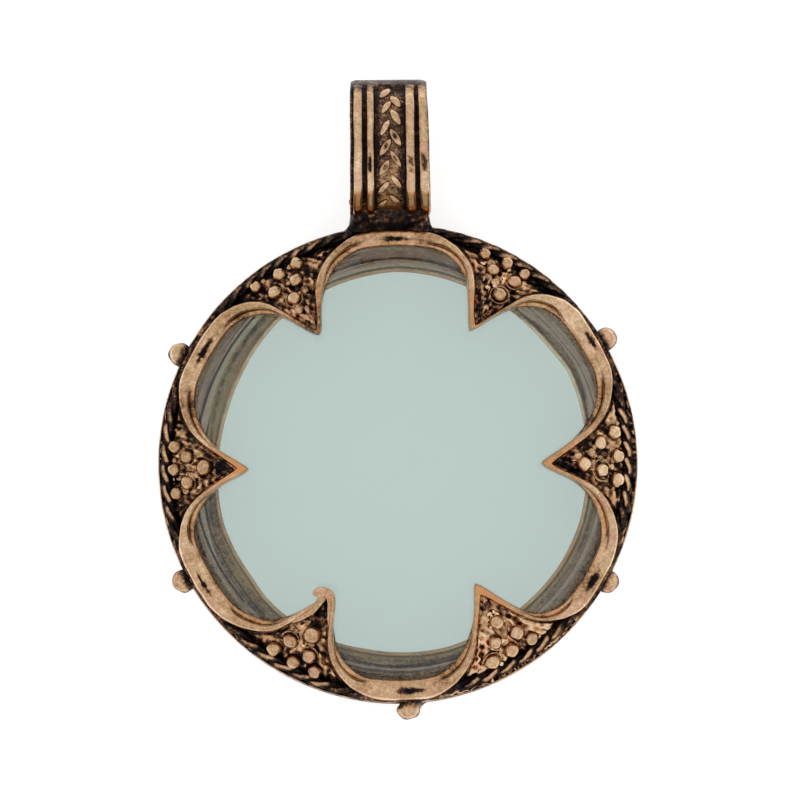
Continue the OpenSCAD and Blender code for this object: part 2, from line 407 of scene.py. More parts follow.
def byClaw(key, degrees):
    # the nearest claw's value, with a smooth change across each lobe's middle
    place = np.asarray(degrees) / clawStep
    low = np.floor(place).astype(int)
    share = ease(0.42, 0.58, place - low)
    values = np.array(claws[key])
    return values[low % form["claws"]] * (1 - share) + values[(low + 1) % form["claws"]] * share


def byLobe(key, degrees):
    # the value of the lobe at that angle
    return np.array(lobes[key])[np.floor(np.asarray(degrees) / clawStep).astype(int) % form["claws"]]


def byFlank(key, degrees):
    # the value of the half lobe at that angle
    number = np.floor(np.asarray(degrees) * 2 / clawStep).astype(int)
    return np.array(flanks[key])[number % (2 * form["claws"])]


def bentClaws(points, recess):
    # each claw is bent sideways a little, more towards its tip, as a turn about the ring's axis; its recess
    # runs to a point that lies a little to the side of the tip
    look = dict(tips=[-2.2, -0.3, 0.3, 1.7, 3.0, 0.8], recesses=[-2.6, -1.6, 0.6, 1.4, 2.2, 0.3],
                nearTip=12.2, atRoot=17.5, spread=15.0)
    distance = np.hypot(points[..., 0], points[..., 1])
    angle = np.degrees(np.arctan2(points[..., 1], points[..., 0])) % 360
    claw = np.round(angle / clawStep).astype(int) % form["claws"]
    away = (angle - claw * clawStep + 180) % 360 - 180
    share = 1 - ease(look["nearTip"], look["atRoot"], distance)
    shift = np.array(look["tips"])[claw] * (1 - recess) + np.array(look["recesses"])[claw] * recess
    turn = shift * share * (1 - ease(0, look["spread"], np.abs(away)))
    return fromPolar(distance, angle + turn, points[..., 2])


# Granules of each claw, from the outer row in: distance, angle from the claw's middle, radius
granules = [
    [(18.17, 6.6, 0.59), (18.33, 0.3, 0.56), (18.31, -5.8, 0.61),
     (16.9, 4.1, 0.56), (16.97, -3.7, 0.56), (15.42, -2.1, 0.61)],
    [(18.92, 6.0, 0.51), (18.98, 0.0, 0.56), (18.95, -5.3, 0.5),
     (17.92, 2.4, 0.53), (17.91, -4.2, 0.58), (16.27, -2.7, 0.61)],
    [(18.85, 7.6, 0.5), (18.58, 0.9, 0.57), (18.64, -4.4, 0.56),
     (17.47, 4.5, 0.56), (17.39, -2.2, 0.59), (16.09, 1.0, 0.56)],
    [(18.62, 6.5, 0.52), (18.68, 0.4, 0.51), (18.62, -5.4, 0.54),
     (17.58, 4.1, 0.57), (17.55, -2.9, 0.55), (16.08, 0.2, 0.62)],
    [(18.66, 6.9, 0.6), (18.71, 1.0, 0.6), (18.58, -5.0, 0.6),
     (17.69, 4.0, 0.6), (17.32, -2.5, 0.61), (15.96, 2.2, 0.7)],
    [(18.37, 5.7, 0.56), (18.24, -0.2, 0.63), (18.34, -5.9, 0.63),
     (17.23, 3.6, 0.61), (17.00, -3.0, 0.56), (15.58, 0.3, 0.61)]]
# Edge beads: angle, how far out they stand, how wide their skirt of solder is and how far it leans, and how
# far the painted shade comes up over them from the wall
beads = dict(
    angles=[29.7, 151.9, 207.3, 271.1, 329.2], stands=[20.25, 20.4, 20.36, 20.42, 20.02],
    skirts=[0.5, 0.3, 0.5, 1.75, 0.75], leans=[-0.15, 0.1, 0.0, 1.05, 0.1],
    shades=[0.12, 0.08, 0.14, 0.0, 0.2],
)


def granuleShadow(spots):
    # painted shadow round the granules: 1 at a granule's foot and 0 from a little further out
    near = np.zeros(spots.shape[:-1])
    for claw, line in enumerate(granules):
        for distance, degrees, radius in line:
            away = np.linalg.norm(spots - fromPolar(distance, claw * clawStep + degrees, 0.0), axis=-1)
            near = np.maximum(near, 1 - ease(radius * 1.02, radius * 1.02 + 0.2, away))
    return near


# Cup: wall, back lip, seat and the sheet over the crystal with its rim band, as one closed section
# whose points follow the lobed outline as it is carried round the axis

cup = dict(
    columns=144,  # for each lobe
    crowd=0.72,  # how much closer the columns stand at the claws
    bandRows=17, floorRows=26, seatRows=38,
    edgeReach=-0.32, edgeSide=-0.1, edgeCorner=0.7,
    # the sheet's edge: share of the way to the band, height, wearAndShading, and how much higher at a
    # lobe's end
    ledge=[(0.06, 0.26, 0.46, 0.04), (0.3, 0.38, 0.6, 0.09), (0.6, 0.45, 0.64, 0.13),
           (0.9, 0.49, 0.6, 0.15)],
    bandSunk=0.12, bandEdge=0.48, crown=0.12, gentleFrom=0.31, endTilt=0.3, endRaise=0.11,
    # how rubbed the band's face is, how much brighter its edges are, partly rubbed and partly a painted
    # highlight, and how much darker their feet
    bandWorn=0.74, bandBright=0.15, bandDark=0.32,
    floorDrop=0.16, floorRough=0.08, grooveHalf=0.42, grooveDepth=0.25, grooveAt=19.25,
    lipFrom=19.86, lipRise=0.05, besideBead=3.4, chamfer=0.4, backFrom=19.6,
    # the outer lip: distance, how much higher than its top, wearAndShading and how uneven that is
    lip=[(19.88, -0.05, 0.3, 0), (19.91, 0, 0.6, 0.12), (19.97, -0.05, 0.55, 0.12)],
    # the opening stands a little off the middle, and so does the seat's inner part; its edge is uneven:
    # angle and how far out it stands
    openShift=(0.35, 0.15), shifted=(17.4, 15.8),
    edgeAt=[0, 12, 20, 28, 36, 46, 60, 70, 78, 90, 100, 110, 120, 130, 142, 151, 162, 170, 182,
            191, 198, 216, 223, 230, 240, 251, 258, 275, 283, 290, 300, 311, 325, 340, 349],
    edgeOut=[-0.2, -0.19, -0.04, 0.07, -0.15, -0.16, -0.02, 0, 0.14, 0.29, 0.2, 0.11, 0.03, -0.04,
             -0.3, -0.47, -0.55, -0.5, -0.3, -0.13, 0, 0, 0.22, 0.3, 0.28, 0.2, 0.1, 0.12, 0.11, 0,
             -0.08, -0.1, -0.06, -0.1, -0.23],
    # its flare: how far outside the opening, height and the share of the seat's brightness
    flare=[(0, 0.06, 1), (0, 0.25, 0.9), (0.25, 0.5, 0.95), (0.5, 0.73, 1)],
    seatFrom=0.6, seatTo=17.9, seatStep=0.1, stepFrom=16.1, stepTo=16.55,
    # how bright the seat is under each lobe at these distances, in streaks of painted light and shade as
    # seen through the crystal, how its streaks run askew and bend, how warm it is at the opening, and the
    # lines on
    # it: distance and how much brighter
    seatAt=[14.6, 15.05, 15.5, 15.95, 16.47, 17.0],
    seatTone=[[1.2, 1.3, 1.2, 0.48, 1.16, 0.82], [0.7, 0.7, 0.82, 1.25, 0.42, 0.8],
              [0.95, 0.62, 0.46, 1.16, 0.74, 0.8], [0.8, 0.74, 0.58, 0.5, 0.88, 0.68],
              [0.6, 0.7, 0.64, 0.4, 0.62, 0.48], [0.8, 0.9, 0.92, 0.6, 1.08, 0.64]],
    seatAskew=[0, 0, 0.02, -0.02, 0, 0], seatBend=[0.0017, 0.001, 0, 0.0005, 0.0003, 0.0003],
    seatWarm=[0.0, 0.4, 0.5, 0.5, 0.8, 0.9],
    seatLines=[(15.9, 0.12), (16.16, -0.1), (16.33, 0.4), (16.5, -0.14), (16.75, 0.12)],
    lineHalf=0.07,
)


class CupRing:
    # the cup all round: the angle of each column of points, and what varies from column to column
    def __init__(self):
        s = np.linspace(-1, 1, cup["columns"], endpoint=False)
        lobe = clawStep / 2 * (s + cup["crowd"] * np.sin(math.pi * s) / math.pi)
        self.degrees = (np.arange(form["claws"])[:, None] * clawStep + clawStep / 2 + lobe).ravel()
        self.fromLobe = np.tile(lobe, form["claws"])
        self.away = np.abs(self.fromLobe)
        self.heading = fromPolar(1.0, self.degrees, 0.0)
        around = fromPolar(form["ringRadius"], self.degrees, 0.0)
        self.wobble, self.ripple = swell(around, 9.0, 3), swell(around, 2.2, 4)
        self.merged = 1 - ease(7, 14, self.away)  # the sheet's edge and the band are one at a lobe's end
        self.outwards = np.interp(self.degrees, cup["edgeAt"], cup["edgeOut"], period=360)
        self.inner, self.edge, self.outer = self.outlines()
        self.rows, self.recess = [], []

    def outlines(self):
        # the lobed outlines of the band's inner edge, the sheet's edge and the band's outer edge
        degrees, fromLobe = self.degrees, self.fromLobe
        atClaw, atTip = ease(19, 26, self.away), ease(22, 28.5, self.away)
        blunt = byClaw("blunt", degrees)
        tipWidth = form["lobeHalfWidth"] + byClaw("wider", degrees)
        halfWidth = byFlank("half", degrees) * (1 - atClaw) + tipWidth * atClaw
        outerTip = tipWidth + byClaw("tipBand", degrees)
        outerHalf = byFlank("outerHalf", degrees) * (1 - atTip) + outerTip * atTip
        reach, corner = byLobe("innerReach", degrees), byFlank("corner", degrees)
        inner = lobed(fromLobe, reach, halfWidth, corner, blunt)
        edge = lobed(fromLobe, reach + cup["edgeReach"], halfWidth + cup["edgeSide"] * (1 - atClaw),
                     corner + cup["edgeCorner"], blunt)
        farReach = byLobe("reach", degrees) + byLobe("askew", degrees) * np.clip(fromLobe, -12, 12)
        outer = lobed(fromLobe, farReach, outerHalf, byFlank("outerCorner", degrees), 0.0)
        outer = outer + (0.03 * self.wobble + 0.02 * self.ripple) * ease(14.5, 17, outer)
        outer = np.minimum(np.maximum(outer, inner + 0.45), cup["lipFrom"] - 0.06)
        return inner, np.minimum(edge, inner - 0.05), outer

    def row(self, distance, height, wearAndShading, warm=0.0, recess=0):
        # any of the first four may vary round the ring; recess is how far the row bends as the claws'
        # recesses do, from 0 to 1
        self.rows.append(np.broadcast_arrays(distance, height, wearAndShading, warm, self.degrees)[:4])
        self.recess.append(recess)

    def onDome(self, distance, lift, wearAndShading, warm=0.0, recess=0):
        self.row(distance, domeHeight(distance, lift), wearAndShading, warm, recess)


def sheetEdge(ring):
    # slopes up to the rim band, and is parted from it by a dark line of solder at a lobe's corners
    merged = ring.merged
    ring.onDome(ring.edge, form["gap"], 0.34)
    for t, lift, wearAndShading, more in cup["ledge"]:
        distance = ring.edge + (ring.inner - ring.edge) * t
        ring.onDome(distance, lift + more * merged, wearAndShading + 0.08 * merged + 0.06 * ring.ripple, 0.3)
    ring.onDome(ring.inner - 0.01, 0.47 + 0.18 * merged, 0.28 + 0.44 * merged, 0.25)


def rimBand(ring):
    # a low flat arch, level at the lobes' ends, with a tan face and brighter edges, partly rubbed and
    # partly a painted highlight; the black marks, in a shallow dent in the middle of each lobe's end, are a
    # painted reflection of the camera
    degrees, fromLobe = ring.degrees, ring.fromLobe
    along = np.radians(fromLobe - byLobe("markAt", degrees)) * byLobe("innerReach", degrees)
    along = along / byLobe("reflectionLength", degrees)
    ragged = swell(fromPolar(19.0, degrees, 0.0), 0.5, 9)
    reflectionWidth = byLobe("reflectionWidth", degrees) * (1 + 0.25 * ragged) * (1 - 0.45 * np.clip(along ** 2, 0, 1))
    atEnd = 1 - ease(8, 17, ring.away)
    tone = byLobe("tone", degrees) + byLobe("slant", degrees) * fromLobe
    tone = tone * (1 - ease(10, 18, ring.away))
    level = cup["bandEdge"] + cup["crown"]
    for t in np.linspace(0, 1, cup["bandRows"]):
        x = -math.cos(math.pi * t)
        soft = ring.merged * (x < 0)
        distance = ring.inner + (ring.outer - ring.inner) * (1 + x) / 2
        arch = cup["bandEdge"] * flatArch(x) + cup["crown"] * (1 - x * x)
        gentle = cup["gentleFrom"] + (level - cup["gentleFrom"]) * ease(-1.0, 0.1, x)
        arch = arch + (gentle - arch) * soft
        end = (cup["endTilt"] * x + cup["endRaise"]) * atEnd * ease(0, 0.35, arch)
        lift = sheetLift - cup["bandSunk"] + arch + end - 0.02 * ring.wobble * ease(0, 0.5, arch)
        # the brighter edges are partly rubbed metal and partly a painted highlight
        edges = cup["bandBright"] * ease(0.72, 0.88, abs(x)) - cup["bandDark"] * ease(0.93, 1.0, abs(x))
        nearTip = 1 - ease(14.0, 17.0, distance)
        rubbedAndLit = cup["bandWorn"] + edges * (1 - soft) + tone - byClaw("darker", degrees) * nearTip
        # painted reflection of the camera: a black mark in the middle of each lobe's end
        reachOut = (distance - byLobe("reflectionDistance", degrees)) / reflectionWidth
        mark = np.exp(-along ** 4 - reachOut ** 4)
        ring.onDome(distance, lift - 0.02 * mark, (rubbedAndLit + 0.04 * ring.ripple) * (1 - 0.97 * mark),
                    byClaw("orange", degrees) * nearTip, recess=t)


def clawFloor(ring):
    # rough floor between the band and the lip, with the groove of the twisted wire
    ground, atApex = byClaw("floor", ring.degrees), byClaw("apex", ring.degrees)
    width = cup["lipFrom"] - ring.outer
    hollow = ease(0.1, 0.8, width)
    for t in np.linspace(0, 1, cup["floorRows"] + 1)[1:]:
        distance = ring.outer + width * (t ** 0.95)
        spots = fromPolar(distance, ring.degrees, 0.0)
        uneven = (swell(spots, 0.55, 5) + 0.8 * swell(spots, 1.6, 6)) * cup["floorRough"]
        dip = np.exp(-((distance - cup["grooveAt"]) / cup["grooveHalf"]) ** 4)
        lift = sheetLift - (cup["floorDrop"] - uneven + dip * cup["grooveDepth"]) * hollow
        shade = ground * (atApex + (1 - atApex) * ease(14.6, 16.6, distance))
        bright = (shade + 2.6 * uneven) * (1 - 0.75 * dip) * ease(0.02, 0.4, distance - ring.outer)
        # the floor is darker round each granule, in a painted shadow
        bright = np.maximum(bright * (1 - 0.7 * granuleShadow(spots)), 0.02)
        ring.onDome(distance, lift, bright * hollow + 0.36 * (1 - hollow), 0.25, recess=1)


def lipAndWall(ring):
    # outer lip, wall, chamfer and back face; the lip and the wall's top are dark beside the beads, in
    # painted shade
    shadeBesideBead = np.zeros_like(ring.degrees)
    for angle in beads["angles"]:
        shadeBesideBead += np.exp(-((ring.degrees - angle) / cup["besideBead"]) ** 4)
    lift = sheetLift + cup["lipRise"] + 0.03 * ring.wobble
    for distance, rise, wearAndShading, uneven in cup["lip"]:
        ring.onDome(distance, lift + rise, (wearAndShading + uneven * ring.ripple) * (1 - 0.9 * shadeBesideBead))
    radius, chamfer = form["ringRadius"], cup["chamfer"]
    wallTop = domeHeight(radius, sheetLift) - 0.16
    ring.row(radius, wallTop, 0.3 * (1 - 0.9 * shadeBesideBead))
    for t in np.linspace(0.06, 1, 5):
        height = wallTop + (chamfer - wallTop) * t
        ring.row(radius, height, (0.34 + 0.05 * ring.wobble) * (1 - 0.8 * shadeBesideBead * (t < 0.6)))
    ring.row(radius - chamfer * 0.5, chamfer * 0.42, 0.62)
    ring.row(radius - chamfer, 0.0, 0.66)
    for t in np.linspace(0.2, 1, 3):
        ring.row(cup["backFrom"] + (form["openRadius"] + 0.08 - cup["backFrom"]) * t, 0.0, 0.52)


def seatRow(ring, distance, height, share=1.0):
    # fine rings that are brighter and darker by turns, in painted light and shade, and dull red towards the
    # opening
    lobe = np.floor(ring.degrees / clawStep).astype(int) % form["claws"]
    askew, bend, silvered = (np.array(cup[key])[lobe] for key in ("seatAskew", "seatBend", "seatWarm"))
    moved = ease(*cup["shifted"], distance) * (ring.outwards + ring.heading[:, :2] @ cup["openShift"])
    at = distance + moved + (askew * ring.fromLobe + bend * ring.fromLobe ** 2)
    tones = [np.interp(at, cup["seatAt"], tones) for tones in cup["seatTone"]]
    spots = ring.heading * 1.5 + np.stack([0 * at, 0 * at, at * 4.5], -1)
    streak = np.choose(lobe, tones) + 0.06 * swell(spots, 2.2, 14) + 0.07 * swell(spots, 0.8, 15)
    for place, size in cup["seatLines"]:
        streak = streak + size * np.exp(-((at - place) / cup["lineHalf"]) ** 2)
    ring.row(distance, height, streak * share, (1 + silvered) * (1 - ease(15.65, 16.0, at)) - 1)


def seatAndInside(ring):
    # flared edge of the opening, seat, the wall round the crystal and the sheet's underside
    lip = form["lipThickness"]
    for further, height, share in cup["flare"]:
        seatRow(ring, form["openRadius"] + further, height, share)
    for distance in np.linspace(form["openRadius"] + cup["seatFrom"], cup["seatTo"], cup["seatRows"]):
        seatRow(ring, distance, lip - cup["seatStep"] * (cup["stepFrom"] < distance < cup["stepTo"]))
    seatCorner = crystalRadius + form["gap"]
    ring.row(seatCorner - 0.5, lip, 0.4)
    ring.row(seatCorner, lip + 0.5, 0.4)
    top = domeHeight(seatCorner, form["gap"])
    for t in np.linspace(0.25, 1, 4):
        ring.row(seatCorner, lip + 0.5 + (top - lip - 0.5) * t, 0.46 + 0.04 * ring.wobble)
    for t in (0.25, 0.5, 0.75, 0.97):
        ring.onDome(seatCorner + (ring.edge - seatCorner) * t, form["gap"], 0.4)


def buildCup():
    ring = CupRing()
    sheetEdge(ring)
    rimBand(ring)
    clawFloor(ring)
    lipAndWall(ring)
    seatAndInside(ring)
    distance, height, wearAndShading, warm = (np.array([row[i] for row in ring.rows]) for i in range(4))
    points = bentClaws(fromPolar(distance, ring.degrees, height), np.array(ring.recess)[:, None])
    share = ease(*cup["shifted"], distance) * (height < form["lipThickness"] + 0.01)
    shift = ring.heading[:, :2] * ring.outwards[:, None] + cup["openShift"]
    points[..., :2] += share[..., None] * shift
    makePiece("cup", [(points, wearAndShading, warm)], closeU=True, closeV=True, sharpAngle=50, **metal)


# Crystal: its section carried round the axis

def buildCrystal():
    look = dict(columns=240, frontRows=48, bevel=0.5)
    low, high = crystalLow[2], crystalHigh[2]
    girdle = high - form["frontRise"]
    flat = [(r, low) for r in np.linspace(0, crystalRadius - look["bevel"], 6)]
    side = [(crystalRadius, z) for z in np.linspace(low + look["bevel"], girdle, 5)]
    tilt = np.linspace(math.asin(crystalRadius / frontRadius), 0, look["frontRows"])[1:]
    front = [(frontRadius * math.sin(a), frontCentre + frontRadius * math.cos(a)) for a in tilt]
    distance, height = np.array(flat + side + front).T
    turn = np.linspace(0, 360, look["columns"], endpoint=False)
    points = fromPolar(distance[:, None], turn[None, :], height[:, None])
    makePiece("crystal_lens", [(points, 0.0)], crystalGlass, "crystal", "crystal", sharpAngle=30)


# Granules: three, two and one on each claw, with rings, lumps and specks of solder round them

def buildGranules():
    look = dict(
        # solder lumps that stand out: claw, distance, angle, radius, stretch towards the rim, worn
        drops=[(0, 16.09, 1.4, 0.38, 1.1, 0.6), (2, 15.2, 1.8, 0.38, 1.5, 0.5),
               (2, 16.35, -3.0, 0.34, 1.2, 0.44), (2, 18.89, 5.1, 0.25, 1, 0.62),
               (3, 13.91, 1.7, 0.28, 1, 0.16), (4, 14.08, 2.2, 0.28, 1, 0.16),
               (5, 13.99, 0.5, 0.26, 1, 0.16), (5, 16.3, 0.3, 0.55, 1.7, 0.56),
               (3, 17.9, -4.6, 0.26, 1, 0.56), (0, 16.35, 2.9, 0.24, 0.9, 0.62),
               (4, 16.75, 3.2, 0.34, 0.8, 0.42), (5, 15.65, 2.7, 0.26, 1, 0.6)],
        # solder lumps that stand out: claw, distance, angle, radius, stretch towards the rim,
        # wearAndShading
        rings=[(1, 16.27, -2.7, 0.8, 0, 400), (0, 16.97, -3.7, 0.88, 205, 95),
               (3, 17.58, 4.1, 0.8, 185, 70), (3, 17.55, -2.9, 0.8, 170, 60),
               (1, 17.91, -4.2, 0.72, 200, 60), (2, 16.09, 1.0, 0.74, 150, 110),
               (4, 17.69, 4.0, 0.8, 175, 60), (4, 17.32, -2.5, 0.82, 190, 60),
               (5, 18.34, -5.9, 0.82, 195, 50)],
        brighter=[0.2, 0.05, 0.07, 0.01, -0.03, 0.09],  # the granules of each claw
        larger=1.07, sink=0.1, dark=0.06, bright=0.66, dropDark=0.04, ringTube=0.075,
        specks=15, speckRadius=0.18, speckSink=0.14, speckDark=0.05, specksAt=(14.6, 18.9),
        tip=13.9, spread=8.2, run=5.2,  # a claw's tip, and half its width in degrees so far from there
    )
    rng = np.random.default_rng(11)
    unit = ball(18, 26)
    grains, rings = [], []
    lift = sheetLift - look["sink"]
    for claw, line in enumerate(granules):
        for distance, degrees, radius in line:
            squash = rng.uniform([0.94, 0.94, 0.8], [1.05, 1.05, 0.95])
            place = (distance, claw * clawStep + degrees)
            points, wearAndShading = grain(unit, place, radius * look["larger"], squash, lift, rng.integers(1000))
            grains.append((points, look["dark"] + (look["bright"] + look["brighter"][claw]) * wearAndShading))
    for claw, distance, degrees, radius, stretch, tone in look["drops"]:
        place = (distance, claw * clawStep + degrees)
        points, wearAndShading = grain(unit, place, radius, [stretch, 1.0, 0.6], lift, rng.integers(1000))
        grains.append((points, look["dropDark"] + tone * wearAndShading))
    lift = sheetLift - look["speckSink"]
    for claw in range(form["claws"]):
        for speck in range(look["specks"]):
            distance = rng.uniform(*look["specksAt"])
            width = look["spread"] * (distance - look["tip"]) / look["run"]
            place = (distance, claw * clawStep + rng.uniform(-width, width))
            radius = look["speckRadius"] * rng.uniform(0.5, 1.5)
            squash = rng.uniform([0.6, 0.6, 0.35], [1.6, 1.6, 0.7])
            points, wearAndShading = grain(unit[::2, ::2], place, radius, squash, lift, rng.integers(1000))
            tone = claws["floor"][claw] + rng.uniform(0.0, 0.4)
            grains.append((points, look["speckDark"] + tone * wearAndShading))
    for claw, distance, degrees, radius, middle, half in look["rings"]:
        place = (distance, claw * clawStep + degrees)
        rings.append(solderRing(place, radius, look["ringTube"], middle, half, rng))
    makePiece("granules", grains, **metal)
    makePiece("solder_rings", rings, closeU=True, **metal)


def grain(unit, place, radius, squash, lift, seed):
    # an uneven ball whose pole points out of the dome, brightest at its pole and dark near its base, in
    # painted light and shade
    lump = unit * squash * (1 + 0.03 * swell(unit, 1.1, seed)[..., None]) * radius
    wearAndShading = ease(-0.5, 0.05, unit[..., 2]) * (0.86 + 0.14 * ease(0.2, 0.9, unit[..., 2]))
    return stoodOnDome(lump, place, lift), wearAndShading


def solderRing(place, radius, thick, middle, half, rng):
    # a thin uneven ring round a granule's foot: a small circle carried round a larger one, which sinks into
    # the floor beyond the arc that shows; 0 is the side towards the rim, and 180 towards the claw's tip
    turn = np.linspace(0, 2 * math.pi, 32, endpoint=False)[:, None]
    small = np.linspace(0, 2 * math.pi, 8, endpoint=False)[None, :]
    reach = radius * (1 + 0.04 * np.sin(turn * 2 + rng.uniform(0, 6)))
    tubeSize = thick * (1 + 0.35 * np.sin(turn + rng.uniform(0, 6)))
    out = reach + tubeSize * np.cos(small)
    away = np.abs((np.degrees(turn) - middle + 180) % 360 - 180)
    sunk = ease(half, half + 40, away)
    spots = np.stack([out * np.cos(turn), out * np.sin(turn), tubeSize * np.sin(small) - 0.3 * sunk], -1)
    # painted shade: bright on top and dark below
    wearAndShading = 0.58 * ease(-0.3, 0.7, np.sin(small) + 0 * turn)
    return stoodOnDome(spots, place, sheetLift - 0.06), wearAndShading


# Twisted wire: two strands wound round a circle, in six runs that end under the rim band

def buildTwistedWire():
    look = dict(
        # for each claw: distance at which the wire runs, and how many turns it would make in a full circle
        distances=[19.0, 19.4, 19.36, 19.24, 19.28, 19.13], turns=[43, 38, 40, 36, 36, 36],
        span=20.0, strand=0.25, wind=0.2, sunk=0.3, lift=0.22, sides=12, samples=110, bright=0.82,
    )
    grids = []
    for claw, (run, turns) in enumerate(zip(look["distances"], look["turns"])):
        lean = math.asin(run / (frontRadius + sheetLift))
        for strand in range(2):
            degrees = np.linspace(-look["span"], look["span"], look["samples"])
            turn = np.radians(degrees * turns) + strand * math.pi + claw * 1.3
            # out runs down the dome's slope, and up stands square to it
            out, up = look["wind"] * np.cos(turn), look["wind"] * np.sin(turn) + look["lift"]
            distance = run + out * math.cos(lean) + up * math.sin(lean)
            middle = domeHeight(run, sheetLift - look["sunk"])
            height = middle + up * math.cos(lean) - out * math.sin(lean)
            path = fromPolar(distance, claw * clawStep + degrees, height)
            points = tube(path, look["strand"], look["sides"])
            # the top of the crest of each turn is bright, partly rubbed and partly a painted highlight; the
            # valleys between are black, and the strands' undersides dark in painted shade
            rise = (points[..., 2] - path[:, None, 2]) / look["strand"]
            crest = np.clip(np.sin(turn), 0, 1)[:, None]
            ends = 1 - 0.65 * ease(10.5, 15, np.abs(degrees))[:, None]
            bright = look["bright"] * claws["wire"][claw] * ease(0.58, 1.0, rise) * ease(0.02, 0.6, crest)
            grids.append((points, 0.04 + bright * ends))
    makePiece("twisted_wire", grids, **metal)


# Edge beads: soldered on the outside of the wall, each with a skirt of solder

def buildEdgeBeads():
    look = dict(radius=0.97, height=3.3, pressed=0.25, dark=0.05, bright=0.72)
    grids = []
    for number, degrees in enumerate(beads["angles"]):
        unit = ball(18, 28)
        lump = unit * look["radius"] * (1 + 0.03 * swell(unit, 1.1, 40 + number)[..., None])
        # the ball's pole points outwards, and its inner half widens to a foot of solder
        stood = np.stack([lump[..., 2], lump[..., 0], lump[..., 1]], -1)
        inward = ease(0.1, -0.9, unit[..., 2])
        stood[..., 1:] *= (1 + beads["skirts"][number] * inward * ease(0.0, 1.0, -unit[..., 2]))[..., None]
        stood[..., 0] -= look["pressed"] * inward
        stood[..., 1] += beads["leans"][number] * inward
        # painted light and shade: bright on top, dark below and towards the wall
        shade = beads["shades"][number]
        bright = ease(0.0, 0.6, unit[..., 1]) * ease(shade - 0.5, shade + 0.15, unit[..., 2])
        points = turnedAbout(stood + [beads["stands"][number], 0, look["height"]], degrees)
        grids.append((points, look["dark"] + look["bright"] * bright))
    makePiece("edge_beads", grids, **metal)


# Bail: a strap whose section is carried round a loop with a round front and a flattened back

loop = dict(
    radius=5.75, middleY=26.35, middleZ=5.0, back=4.7, corner=2.5, thickness=1.25,
    halfWidth=3.2, footHalfWidth=3.3, channelDepth=0.36,
    plainFrom=27, ornateFrom=35,  # the ornament starts where the strap has turned so far to the front
)


def onLoop(outward, depth):
    # place by the angle that the loop's outside faces (0 is up the bail, 90 is front) and how deep it lies:
    # a large circle in front and a small one at each corner of the back
    cornerY = math.sqrt((loop["radius"] - loop["corner"]) ** 2 - (loop["back"] - loop["corner"]) ** 2)
    cornerZ = loop["corner"] - loop["back"]
    joint = math.degrees(math.atan2(-cornerZ, cornerY))
    turn = np.radians(outward)
    front = (outward > -joint) & (outward < 180 + joint)
    radius = np.where(front, loop["radius"], loop["corner"]) - depth
    side = np.where(outward < 90, 1, -1)
    y = np.where(front, 0, side * cornerY) + radius * np.cos(turn)
    z = np.where(front, 0, cornerZ) + radius * np.sin(turn)
    return y + loop["middleY"], z + loop["middleZ"]


def leant(points):
    # the bail stands a little left of the ring's middle and leans right, about its foot
    foot = np.array([0, form["ringRadius"], 0])
    return turnedAbout(points - foot, -form["bailLean"]) + foot + [form["bailX"], 0, 0]


def strapSection():
    # x as a share of half the width, depth below the ridges, wearAndShading: across the outside, down one
    # side, back across the inside and up the other side; and how many of the points are outside
    ridges = [(-0.915, -0.67), (-0.57, -0.372), (0.43, 0.68), (0.755, 0.985)]
    outside = []
    for low, high in ridges:
        for t in np.linspace(0, 1, 9):
            x = -math.cos(math.pi * t)
            arch = flatArch(x) * 0.9 + 0.1 * (1 - x * x)
            bright = 0.06 * ease(0.5, 0.8, abs(x))
            across = low + (high - low) * (1 + x) / 2
            outside.append((across, 0.26 * (1 - arch), 0.12 + (0.71 + bright) * arch))
    deep = loop["channelDepth"]
    gaps = [(-0.985, 0.16, 0.3), (-0.935, 0.2, 0.24), (-0.62, 0.33, 0.1), (-0.355, deep, 0.06),
            (-0.2, deep, 0.37), (0.0, deep, 0.35), (0.2, deep, 0.41), (0.405, deep, 0.08),
            (0.717, 0.33, 0.1)]
    outside = sorted(outside + gaps)
    side = [(0.998, 0.4, 0.3), (1.0, 0.75, 0.28), (1.0, 1.05, 0.28), (0.985, 1.2, 0.4)]
    inside = [(x, loop["thickness"], 0.3) for x in np.linspace(0.94, -0.94, 10)]
    otherSide = [(-x, depth, wearAndShading) for x, depth, wearAndShading in side[::-1]]
    return np.array(outside + side + inside + otherSide).T, len(outside)


